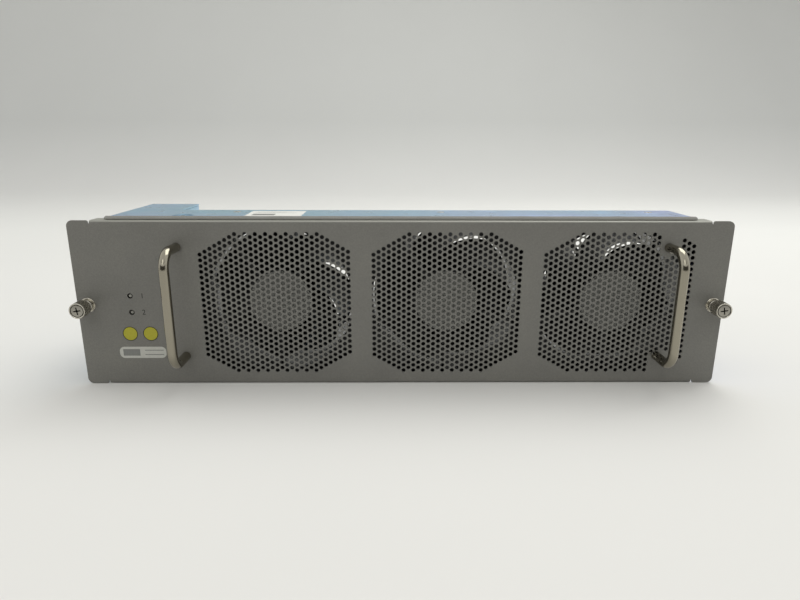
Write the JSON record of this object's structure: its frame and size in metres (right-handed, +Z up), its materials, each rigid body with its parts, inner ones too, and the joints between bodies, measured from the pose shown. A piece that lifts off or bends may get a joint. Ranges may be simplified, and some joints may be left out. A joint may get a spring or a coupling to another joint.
{
  "type": "switch fan tray",
  "caption": "Rack-width fan tray: perforated grey front panel with bow handles and captive screws on a zinc sheet-metal tray that carries axial fans and a rear connector bay.",
  "frame": {"origin": "under the middle of the whole tray's box, on the surface that it stands on", "axes": "+X along the front panel to the right as seen from the front, +Y from the panel into the chassis, +Z up the panel"},
  "size_m": [0.439, 0.1385, 0.1166],
  "materials": {
    "grey_paint": "fine texture paint",
    "zinc_plate": "blue zinc plate",
    "chrome": "polished",
    "nickel": "nickel plate",
    "spring_steel": "bright",
    "black_plastic": "moulded",
    "motor_steel": "laminated",
    "label_film": "blank film",
    "gasket_cloth": "conductive cloth",
    "board_green": "solder mask",
    "clear_lens": "clear",
    "connector_plastic": "moulded",
    "lead_sleeve": "sleeve"
  },
  "bodies": {
    "tray": {"front_panel": "grey_paint", "tray_base": "zinc_plate", "top_cover": "zinc_plate", "rear_plate": "zinc_plate", "bay_bracket": "zinc_plate", "bay_partition": "zinc_plate", "gasket_strip": "gasket_cloth", "handle_left": "chrome", "handle_right": "chrome", "handle_left_screw_lower": "nickel", "handle_left_screw_upper": "nickel", "handle_right_screw_lower": "nickel", "handle_right_screw_upper": "nickel", "cover_screw_1": "nickel", "cover_screw_2": "nickel", "cover_screw_3": "nickel", "dish_screw": "nickel", "connector_housing": "connector_plastic", "controller_board": "board_green", "board_standoff_lower": "nickel", "board_standoff_upper": "nickel", "lamp_block": "connector_plastic", "lamp_pipe_upper": "clear_lens", "lamp_pipe_lower": "clear_lens", "fan_header": "connector_plastic", "left_screw_ferrule": "nickel", "left_screw_spring": "spring_steel", "right_screw_ferrule": "nickel", "right_screw_spring": "spring_steel", "fan_1_frame": "black_plastic", "fan_1_front_bearing": "spring_steel", "fan_1_rear_bearing": "spring_steel", "fan_1_stator": "motor_steel", "fan_1_motor_mount": "black_plastic", "fan_1_lead": "lead_sleeve", "fan_2_frame": "black_plastic", "fan_2_front_bearing": "spring_steel", "fan_2_rear_bearing": "spring_steel", "fan_2_stator": "motor_steel", "fan_2_motor_mount": "black_plastic", "fan_2_lead": "lead_sleeve", "fan_3_frame": "black_plastic", "fan_3_front_bearing": "spring_steel", "fan_3_rear_bearing": "spring_steel", "fan_3_stator": "motor_steel", "fan_3_motor_mount": "black_plastic", "fan_3_lead": "lead_sleeve"},
    "fan_1_rotor": {"fan_1_impeller": "black_plastic", "fan_1_shaft": "spring_steel"},
    "fan_2_rotor": {"fan_2_impeller": "black_plastic", "fan_2_shaft": "spring_steel"},
    "fan_3_rotor": {"fan_3_impeller": "black_plastic", "fan_3_shaft": "spring_steel"},
    "left_screw_slide": {"left_screw_washer": "spring_steel"},
    "left_screw": {"left_screw_knob": "nickel", "left_screw_stem": "nickel"},
    "right_screw_slide": {"right_screw_washer": "spring_steel"},
    "right_screw": {"right_screw_knob": "nickel", "right_screw_stem": "nickel"}
  },
  "joints": [
    {"name": "fan_1_spin", "type": "hinge", "parent": "tray", "child": "fan_1_rotor", "pos_m": [-0.0852, 0, 0.05715], "axis": [0, 1, 0], "continuous": true},
    {"name": "fan_2_spin", "type": "hinge", "parent": "tray", "child": "fan_2_rotor", "pos_m": [0.03, 0, 0.05715], "axis": [0, 1, 0], "continuous": true},
    {"name": "fan_3_spin", "type": "hinge", "parent": "tray", "child": "fan_3_rotor", "pos_m": [0.1452, 0, 0.05715], "axis": [0, 1, 0], "continuous": true},
    {"name": "left_screw_push", "type": "slide", "parent": "tray", "child": "left_screw_slide", "axis": [0, 1, 0], "range_m": [0, 0.005], "stiffness_N_per_m": 300, "springref_m": -0.004, "deforming": ["left_screw_spring"]},
    {"name": "left_screw_turn", "type": "hinge", "parent": "left_screw_slide", "child": "left_screw", "pos_m": [-0.2122, 0, 0.05715], "axis": [0, 1, 0], "continuous": true},
    {"name": "right_screw_push", "type": "slide", "parent": "tray", "child": "right_screw_slide", "axis": [0, 1, 0], "range_m": [0, 0.005], "stiffness_N_per_m": 300, "springref_m": -0.004, "deforming": ["right_screw_spring"]},
    {"name": "right_screw_turn", "type": "hinge", "parent": "right_screw_slide", "child": "right_screw", "pos_m": [0.2122, 0, 0.05715], "axis": [0, 1, 0], "continuous": true}
  ]
}
